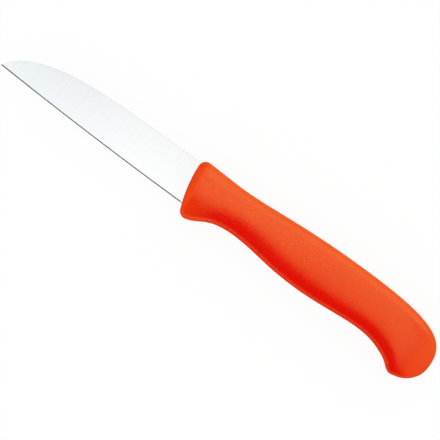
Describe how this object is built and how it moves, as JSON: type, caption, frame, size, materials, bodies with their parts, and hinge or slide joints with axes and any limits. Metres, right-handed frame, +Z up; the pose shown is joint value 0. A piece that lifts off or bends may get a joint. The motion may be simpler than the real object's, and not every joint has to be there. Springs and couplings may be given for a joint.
{
  "type": "paring knife",
  "caption": "Paring knife: short taper-ground steel blade with a straight edge, its tang moulded into a curved plastic handle with a finger guard and a hooked end.",
  "frame": {"origin": "middle of the knife's footprint, on the surface that it lies on", "axes": "+X along the cutting edge from the tip to the pommel, +Y towards the back of the blade, +Z up through the thickness"},
  "size_m": [0.1836, 0.0244, 0.0126],
  "materials": {
    "blade_steel": "satin ground",
    "handle_plastic": "fine moulded grain"
  },
  "bodies": {
    "root": {"blade": "blade_steel", "handle": "handle_plastic"}
  },
  "joints": []
}
